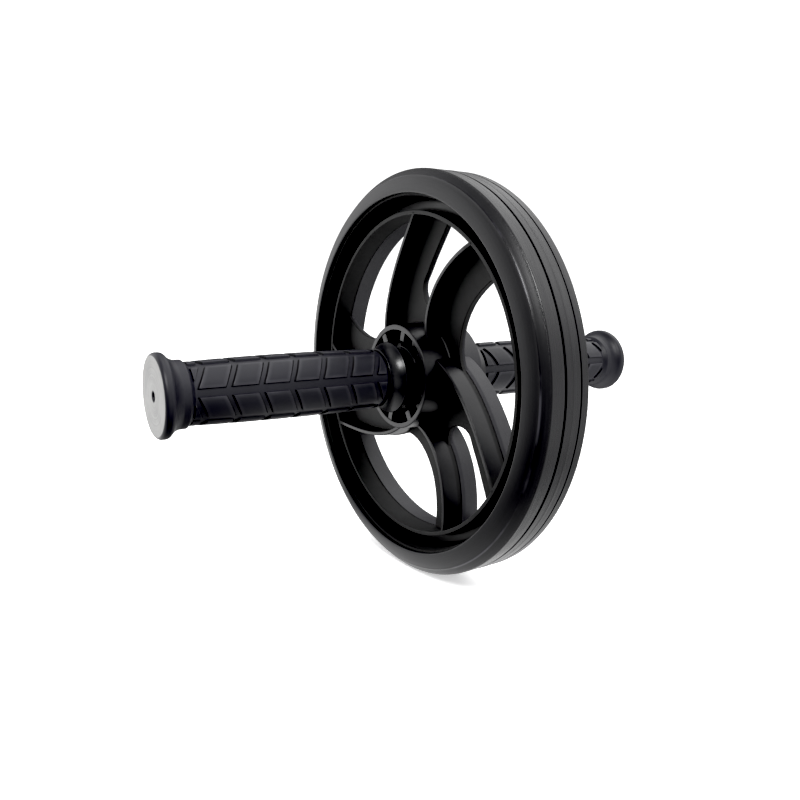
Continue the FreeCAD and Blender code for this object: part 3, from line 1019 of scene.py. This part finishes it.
def web_mesh(sizes, tyre):
    """Flat web with its windows: a filled curve with rounded edges, stood up in the wheel's plane."""
    data = bpy.data.curves.new("web", "CURVE")
    data.dimensions = "2D"
    data.fill_mode = "BOTH"
    rounding = sizes.edge_rounding * 0.8
    data.bevel_depth = rounding
    data.bevel_resolution = 2
    data.offset = -rounding
    data.extrude = sizes.web_thickness / 2 - rounding
    outer = tyre.seat_radius - sizes.rim_wall - sizes.rim_draft / 2
    inner = (sizes.boss_bore + sizes.boss_radius) / 2
    turns = [FULL_TURN * step / WEB_SEGMENTS for step in range(WEB_SEGMENTS)]
    loops = [[polar(radius, turn) for turn in turns] for radius in (outer, inner)]
    for pair in range(sizes.spoke_pairs):
        turned = Matrix.Rotation(FULL_TURN * pair / sizes.spoke_pairs, 3, "Z")
        for line in window_lines(sizes):
            loops.append([turned @ point for point in line])
    for loop in loops:
        spline = data.splines.new("POLY")
        spline.points.add(len(loop) - 1)
        for dot, point in zip(spline.points, loop):
            dot.co = (point.x, point.y, 0.0, 1.0)
        spline.use_cyclic_u = True
    mesh = evaluated(new_object("web", data))
    mesh.transform(Matrix.Rotation(math.pi / 2, 4, "X"))
    return mesh


def wall_mesh(sizes, material):
    """All spoke walls, swept by Geometry Nodes."""
    near = sizes.spoke_wall / 2
    far = near + sizes.parting_step
    draft = sizes.draft
    depth = sizes.spoke_half_depth
    edge = sizes.edge_rounding
    fine = sizes.parting_step / 3
    half = [(near, -depth, edge), (near + draft, 0.0, fine), (far + draft, 0.0, fine), (far, depth, edge)]
    section = rounded(half + [(-across, *rest) for across, *rest in reversed(half)])
    points = [(point.x, point.y, 0.0) for point in section]
    outline = new_object("wall_section", line_mesh("wall_section", [points], closed=True))
    paths = line_mesh("spoke_paths", [spoke_line(sizes, FIRST_SPOKE), spoke_line(sizes, SECOND_SPOKE)])
    inputs = {"Section": outline, "Pairs": sizes.spoke_pairs, "Finish": material}
    walls = spoke_tree().run("spoke_walls", paths, **inputs)
    bpy.data.objects.remove(outline)
    return walls


def rib_mesh(sizes, material):
    """All hub ribs, repeated by Geometry Nodes from one rounded rib with a shelf by the hub's wall."""
    reach = sizes.hub_wall / 2
    wall = sizes.hub_radius - sizes.hub_wall
    top = sizes.hub_half_width - sizes.rib_recess
    foot = sizes.boss_half_width - sizes.rib_foot_recess
    shelf = wall - sizes.rib_shelf
    half = [(sizes.boss_radius - reach, -foot), (shelf, -foot), (shelf, -top), (wall + reach, -top)]
    points = half + [(radius, -place) for radius, place in reversed(half)]
    below = -sizes.rib_thickness / 2
    shape = bmesh.new()
    face = shape.faces.new([shape.verts.new((radius, place, below)) for radius, place in points])
    grown = bmesh.ops.extrude_face_region(shape, geom=[face])["geom"]
    raised = [item for item in grown if isinstance(item, bmesh.types.BMVert)]
    bmesh.ops.translate(shape, vec=(0.0, 0.0, sizes.rib_thickness), verts=raised)
    turned = Matrix.Rotation(-sizes.rib_first_angle, 3, "Y")
    bmesh.ops.rotate(shape, cent=(0, 0, 0), matrix=turned, verts=shape.verts)
    rounding = sizes.edge_rounding * 0.5
    bmesh.ops.bevel(shape, geom=shape.edges, offset=rounding, segments=3, profile=0.5, affect="EDGES")
    rib = mesh_of(shape, "hub_rib")
    return rib_tree().run("hub_ribs", rib, Count=sizes.rib_count, Finish=material)


def grip_outline(sizes):
    """Grip's cross-section without its blocks, along the axle from the wheel's middle plane."""
    end = sizes.end
    edge = sizes.edge_rounding
    face = (sizes.face_radius, end)
    widest = (sizes.flange_radius, end - sizes.flange_widest)
    back = (sizes.flange_back_radius, end - sizes.flange_back)
    band = (sizes.band_radius, end - sizes.band_outer)
    root = (sizes.outer_radius - sizes.block_height, end - sizes.pattern_end)
    swell = (sizes.middle_radius - sizes.block_height, end - sizes.middle)
    start = (sizes.inner_radius - sizes.block_height, sizes.start + sizes.pattern_start)
    points = [(sizes.vent_radius, end, edge), face]
    points += arc(face, corner_middle(face, widest), widest, 7)
    points += arc(widest, corner_middle(back, widest), back, 7)
    points += arc(back, (sizes.neck_radius, end - sizes.neck), band, 8)
    points += [(sizes.band_radius, end - sizes.band_inner, edge), root + (edge,)]
    points += arc(root, swell, start, 24)
    points += [
        (start[0], sizes.start, edge),
        (sizes.bore, sizes.start),
        (sizes.bore, end - sizes.end_wall),
        (sizes.vent_radius, end - sizes.end_wall),
    ]
    return rounded(points)


def flat_block(sizes, block_length):
    """One block laid flat: a rounded pad with sides that run a little way into the sleeve."""
    rounding = sizes.block_rounding
    root = sizes.block_height + sizes.block_root

    def stations(half, scale, flank, inner):
        """Places across the block from side to side, each with its height."""
        border = [(-flank, -root), (0.0, -rounding), (rounding * 0.3, -rounding * 0.3), (rounding, 0.0)]
        edge = [(half - inset * scale, height) for inset, height in border]
        middle = [(half - rounding * scale) * (1 - 2 * step / inner) for step in range(1, inner)]
        other_edge = [(-place, height) for place, height in reversed(edge)]
        return edge + [(place, 0.0) for place in middle] + other_edge

    across = stations(sizes.row_angle / 2, 1 / sizes.middle_radius, sizes.row_flank, 8)
    along = stations(block_length / 2, 1.0, sizes.groove_flank, 6)
    shape = bmesh.new()
    # Attributes for the grip's material: painted highlight along the edges and painted shade on the
    # flanks.
    edge_highlight = shape.verts.layers.float.new("edge_highlight")
    flank = shape.verts.layers.float.new("flank")
    last_across = len(across) - 1
    last_along = len(along) - 1
    top = []
    bottom = []
    for i, (turn, turn_height) in enumerate(across):
        top.append([])
        bottom.append([])
        for j, (place, place_height) in enumerate(along):
            dot = shape.verts.new((turn, place, min(turn_height, place_height)))
            end = min(j, last_along - j)
            ring = min(i, last_across - i, end)
            dot[edge_highlight] = BLOCK_EDGE_HIGHLIGHT[ring] if ring < len(BLOCK_EDGE_HIGHLIGHT) else 0.0
            # Painted shade on the flanks.
            dot[flank] = BLOCK_FLANK_SHADE[end] if end < len(BLOCK_FLANK_SHADE) else 0.0
            top[-1].append(dot)
            bottom[-1].append(dot if ring == 0 else shape.verts.new((turn, place, -root)))
    for grid in (top, bottom):
        for i in range(last_across):
            for j in range(last_along):
                shape.faces.new((grid[i][j], grid[i + 1][j], grid[i + 1][j + 1], grid[i][j + 1]))
    return mesh_of(shape, "grip_block")


def grip_mesh(sizes, side, material):
    """One grip: the turned sleeve and its wrapped blocks."""
    shape = bmesh.new()
    add_turned(shape, on_side(grip_outline(sizes), side), GRIP_SEGMENTS)
    # Empty painted highlight and painted shade attributes, to match the blocks.
    shape.verts.layers.float.new("edge_highlight")
    shape.verts.layers.float.new("flank")
    sleeve = mesh_of(shape, "grip_sleeve")
    block_length = sizes.pitch - sizes.groove_width / math.cos(sizes.slant)
    block = new_object("grip_block", flat_block(sizes, block_length))
    low = sizes.start + sizes.pattern_start
    high = sizes.end - sizes.pattern_end
    grooves = 1 + int((high - low - sizes.first_groove) / sizes.pitch)
    mesh = block_tree().run(
        "grip_blocks",
        sleeve,
        Block=block,
        Rows=sizes.rows,
        Blocks=grooves + 1,
        First_Row=sizes.first_row,
        Pitch=sizes.pitch,
        First_Block=high - sizes.first_groove - (grooves - 0.5) * sizes.pitch,
        Block_Length=block_length,
        Slant=-sizes.slant,
        Low_End=low,
        High_End=high,
        Middle=sizes.end - sizes.middle,
        Low_Radius=sizes.inner_radius,
        Middle_Radius=sizes.middle_radius,
        High_Radius=sizes.outer_radius,
        Side=side,
        Finish=material,
    )
    bpy.data.objects.remove(block)
    shape = bmesh.new()
    shape.from_mesh(mesh)
    return mesh_of(shape, "grip")


def collar_outline(sizes, grip):
    """Collar's cross-section: a rim by the wheel that sweeps in to the grip."""
    rim_side = (sizes.rim_radius, sizes.face + sizes.rounding)
    rim_face = (sizes.rim_radius - sizes.rounding, sizes.face)
    land = (sizes.rim_radius, sizes.face + sizes.rim_land)
    end = (sizes.end_radius, grip.start)
    points = [(grip.bore, sizes.face, sizes.bore_rounding), rim_face]
    points += arc(rim_face, corner_middle(rim_face, rim_side), rim_side, 8)
    points += [land + (sizes.edge_rounding,)]
    points += arc(land, (sizes.waist_radius, sizes.face + sizes.waist), end, 16)[:-1]
    points += [end + (sizes.edge_rounding,), (grip.bore, grip.start)]
    return rounded(points)


class ROLLER_OT_tyre(Operator):
    """Make the tyre"""

    bl_idname = "roller.tyre"
    bl_label = "Tyre"

    def execute(self, context):
        scene = context.scene
        material = tyre_rubber(scene.roller_finishes)
        mesh = turned_mesh("tyre_ring", tyre_outline(scene.roller_tyre), TYRE_SEGMENTS)
        finish_piece("tyre_ring", mesh, material, "wheel", "tyre_rubber", "tyre")
        return {"FINISHED"}


class ROLLER_OT_wheel(Operator):
    """Make the wheel moulding: rim, ring, spokes, web and hub"""

    bl_idname = "roller.wheel"
    bl_label = "Wheel moulding"

    def execute(self, context):
        scene = context.scene
        sizes, tyre = scene.roller_wheel, scene.roller_tyre
        material = wheel_plastic(scene.roller_finishes)
        shape = bmesh.new()
        for outline, segments in rim_outlines(sizes, tyre):
            add_turned(shape, outline, segments)
        for part in (web_mesh(sizes, tyre), wall_mesh(sizes, material), rib_mesh(sizes, material)):
            shape.from_mesh(part)
            bpy.data.meshes.remove(part)
        bmesh.ops.remove_doubles(shape, verts=shape.verts, dist=MERGE_DISTANCE)
        for face in shape.faces:
            face.material_index = 0
        mesh = mesh_of(shape, "wheel_moulding")
        finish_piece("wheel_moulding", mesh, material, "wheel", "wheel_plastic", "wheel_body")
        return {"FINISHED"}


class ROLLER_OT_grips(Operator):
    """Make both grips"""

    bl_idname = "roller.grips"
    bl_label = "Grips"

    def execute(self, context):
        scene = context.scene
        material = grip_rubber(scene.roller_finishes)
        for name, side in SIDES:
            mesh = grip_mesh(scene.roller_grip, side, material)
            piece = "grip_sleeve_" + name
            finish_piece(piece, mesh, material, "handle_bar", "grip_rubber", "grip_" + name)
        return {"FINISHED"}


class ROLLER_OT_collars(Operator):
    """Make both collars"""

    bl_idname = "roller.collars"
    bl_label = "Collars"

    def execute(self, context):
        scene = context.scene
        material = collar_plastic(scene.roller_finishes)
        outline = collar_outline(scene.roller_collar, scene.roller_grip)
        for name, side in SIDES:
            mesh = turned_mesh("collar", on_side(outline, side), GRIP_SEGMENTS)
            piece = "flared_collar_" + name
            finish_piece(piece, mesh, material, "handle_bar", "collar_plastic", "collar_" + name)
        return {"FINISHED"}


class ROLLER_OT_fittings(Operator):
    """Finish the axle tube, bushes, washers, retaining rings and plugs"""

    bl_idname = "roller.fittings"
    bl_label = "Fittings"

    def execute(self, context):
        finishes = context.scene.roller_finishes
        coat_nodes(plated_steel(finishes), "axle_tube")
        black = blackened_steel(finishes)
        plastic = bush_plastic(finishes)
        for name, _ in SIDES:
            coat_nodes(black, "thrust_washer_" + name, "retaining_ring_" + name)
            coat_nodes(plastic, "hub_bush_" + name, "tube_plug_" + name)
        return {"FINISHED"}


# Stage

# Where the bright parts of the surroundings and of the floor lie. Their edges are cosines of the angle
# off that way. The floor's other steps are in mm from the middle of the wheel.
SKY_WAYS = {
    "top": (0.0, 0.0, 1.0),
    "back_top": (0.0, 0.6, 0.8),
    "left_back": (-0.82, 0.54, 0.2),
    "right_back": (0.83, 0.54, 0.15),
    "left_front": (-0.8, -0.56, 0.2),
    "front": (-0.2, -0.96, 0.1),
}
SKY_EDGE = (0.55, 1.0)
SKY_WHITE = 1.2
FLOOR_WAYS = {
    "floor_left_front": (-0.83, -0.56),
    "floor_right_back": (0.83, 0.56),
}
FLOOR_EDGE = (0.25, 1.0)
FLOOR_START = (80.0, 250.0)
BELOW_MIDDLE = 55.0
BELOW_EDGE = (40.0, 170.0)
FLOOR_SIZE = 30.0
BLACK = (0.0, 0.0, 0.0, 1.0)
WHITE = (1.0, 1.0, 1.0, 1.0)
LIGHT_PLACE = Vector((0.55, -0.39, 0.63))
LIGHT_TARGET = Vector((0.0, -0.02, 0.0))
LIGHT_SIZE = 0.3
SENSOR_WIDTH = 36.0
NEAREST = 0.01


def floor_surface(settings):
    """Pale, faintly uneven floor. The object sees it as bright as the settings say for each side."""
    surface = Surface("floor")
    graph = surface.graph
    cloud = surface.noise(0.004)
    seen = graph.value("ShaderNodeLightPath", key="Is Camera Ray")
    distance = (surface.x * surface.x + surface.y * surface.y).root()
    behind = surface.y - BELOW_MIDDLE
    below = (surface.x * surface.x + behind * behind).root()
    glow = settings.floor_below * (1.0 - below.rise(*BELOW_EDGE))
    for name, (x, y) in FLOOR_WAYS.items():
        facing = (surface.x * x + surface.y * y) / distance
        glow = glow + getattr(settings, name) * facing.rise(*FLOOR_EDGE) * distance.rise(*FLOOR_START)
    glow = glow + seen * (settings.floor_glow - glow)
    base = graph.mix(seen, BLACK, surface.between(cloud, settings.floor, 1.9, 2.0))
    light = {"Emission_Color": graph.vector(glow, glow, glow), "Emission_Strength": 1.0}
    return surface.done(base, 0.7 + cloud * 0.1, cloud, 0.01, **light)


def pale_surroundings(settings):
    """Surroundings as bright as the settings say for each way. The camera itself sees plain white."""
    world = bpy.data.worlds.new("surroundings")
    bpy.context.scene.world = world
    world.use_nodes = True
    graph = Graph(world.node_tree)
    way = graph.value("ShaderNodeTexCoord", key="Generated")
    glow = graph.value("ShaderNodeLightPath", key="Is Camera Ray") * SKY_WHITE
    for name, towards in SKY_WAYS.items():
        inputs = {0: way, 1: Vector(towards).normalized()}
        facing = graph.value("ShaderNodeVectorMath", {"operation": "DOT_PRODUCT"}, inputs, "Value")
        glow = glow + facing.rise(*SKY_EDGE) * getattr(settings, name)
    back = graph.value("ShaderNodeBackground", None, {"Color": WHITE, "Strength": glow})
    graph.add("ShaderNodeOutputWorld", None, {"Surface": back})


def small_light(power):
    """Square soft light that the camera doesn't see."""
    data = bpy.data.lights.new("small_light", "AREA")
    data.size = LIGHT_SIZE
    data.energy = power
    light = new_object("small_light", data)
    light.location = LIGHT_PLACE
    light.rotation_euler = (LIGHT_TARGET - LIGHT_PLACE).to_track_quat("-Z", "Y").to_euler()
    light.visible_camera = False


def photo_camera(settings):
    """Camera at the photograph's angle."""
    turn, rise = settings.azimuth, settings.elevation
    level = math.cos(rise)
    back = Vector((math.sin(turn) * level, -math.cos(turn) * level, math.sin(rise)))
    right = Vector((math.cos(turn), math.sin(turn), 0.0))
    up = back.cross(right)
    data = bpy.data.cameras.new("camera")
    data.sensor_width = SENSOR_WIDTH
    data.lens = settings.lens
    data.clip_start = NEAREST
    camera = new_object("camera", data)
    axes = Matrix((right, up, back)).transposed().to_4x4()
    place = back * settings.distance + right * settings.across + up * settings.above
    camera.matrix_world = Matrix.Translation(place) @ axes
    return camera


def pale_floor(settings):
    """Floor under the wheel."""
    shape = bmesh.new()
    bmesh.ops.create_grid(shape, x_segments=4, y_segments=4, size=FLOOR_SIZE)
    mesh = plain_mesh(shape, "floor")
    mesh.transform(Matrix.Translation((0.0, 0.0, CAD_BOX[0].z)))
    mesh.materials.append(floor_surface(settings))
    return new_object("floor", mesh)


class ROLLER_OT_stage(Operator):
    """Make the floor, the lights and the camera"""

    bl_idname = "roller.stage"
    bl_label = "Stage"

    def execute(self, context):
        scene = context.scene
        settings = scene.roller_stage
        scene.camera = photo_camera(settings)
        pale_floor(settings)
        pale_surroundings(settings)
        small_light(settings.spot)
        view = scene.view_settings
        view.view_transform = "Standard"
        view.use_curve_mapping = True
        view.curve_mapping.black_level = [settings.black] * 3
        view.curve_mapping.update()
        return {"FINISHED"}


class ROLLER_PT_sidebar(Panel):
    """Roller settings in the sidebar"""

    bl_label = "Exercise roller"
    bl_space_type = "VIEW_3D"
    bl_region_type = "UI"
    bl_category = "Roller"

    def draw(self, context):
        scene = context.scene
        for label, operator, settings in (
            ("Tyre", "roller.tyre", scene.roller_tyre),
            ("Wheel", "roller.wheel", scene.roller_wheel),
            ("Grips", "roller.grips", scene.roller_grip),
            ("Collars", "roller.collars", scene.roller_collar),
            ("Finishes", "roller.fittings", scene.roller_finishes),
            ("Stage", "roller.stage", scene.roller_stage),
        ):
            box = self.layout.box()
            box.label(text=label)
            for name in settings.__annotations__:
                box.prop(settings, name)
            box.operator(operator)


SETTINGS = {
    "roller_tyre": TyreSizes,
    "roller_wheel": WheelSizes,
    "roller_grip": GripSizes,
    "roller_collar": CollarSizes,
    "roller_finishes": Finishes,
    "roller_stage": StageSettings,
}

CLASSES = (
    *SETTINGS.values(),
    ROLLER_OT_tyre,
    ROLLER_OT_wheel,
    ROLLER_OT_grips,
    ROLLER_OT_collars,
    ROLLER_OT_fittings,
    ROLLER_OT_stage,
    ROLLER_PT_sidebar,
)


def register():
    for item in CLASSES:
        bpy.utils.register_class(item)
    for name, group in SETTINGS.items():
        setattr(bpy.types.Scene, name, PointerProperty(type=group))


def unregister():
    for name in SETTINGS:
        delattr(bpy.types.Scene, name)
    for item in reversed(CLASSES):
        bpy.utils.unregister_class(item)


def main():
    register()
    bpy.ops.roller.stage()
    bpy.ops.roller.tyre()
    bpy.ops.roller.wheel()
    bpy.ops.roller.grips()
    bpy.ops.roller.collars()
    bpy.ops.roller.fittings()


if __name__ == "__main__":
    main()
